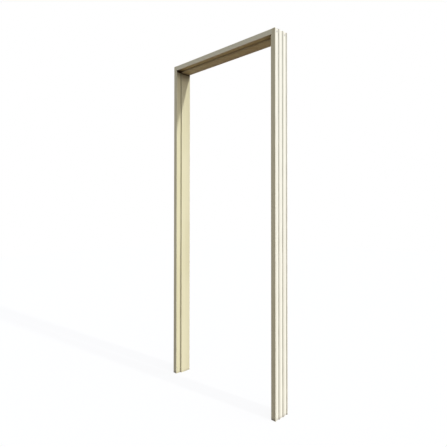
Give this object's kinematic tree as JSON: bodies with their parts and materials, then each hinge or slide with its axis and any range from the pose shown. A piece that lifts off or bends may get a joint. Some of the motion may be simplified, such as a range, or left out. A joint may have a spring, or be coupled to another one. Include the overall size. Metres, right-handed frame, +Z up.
{
  "type": "composite door frame",
  "caption": "Bare composite door frame with a single rebate: full-height jambs and a head of one cream extruded section, grooved on the wall side.",
  "frame": {"origin": "floor level, midway between the jambs' wall sides and in the middle of the section's depth", "axes": "+X across the doorway to the right as seen from the rebate side, +Y through the wall away from the rebate, +Z up"},
  "size_m": [0.9, 0.106, 2.1],
  "materials": {
    "composite": "cream wood-plastic composite, matt, with fine extrusion lines",
    "screw_steel": "bright zinc plate"
  },
  "bodies": {
    "root": {"left_jamb": "composite", "right_jamb": "composite", "head": "composite", "corner_screws": "screw_steel"}
  },
  "joints": []
}
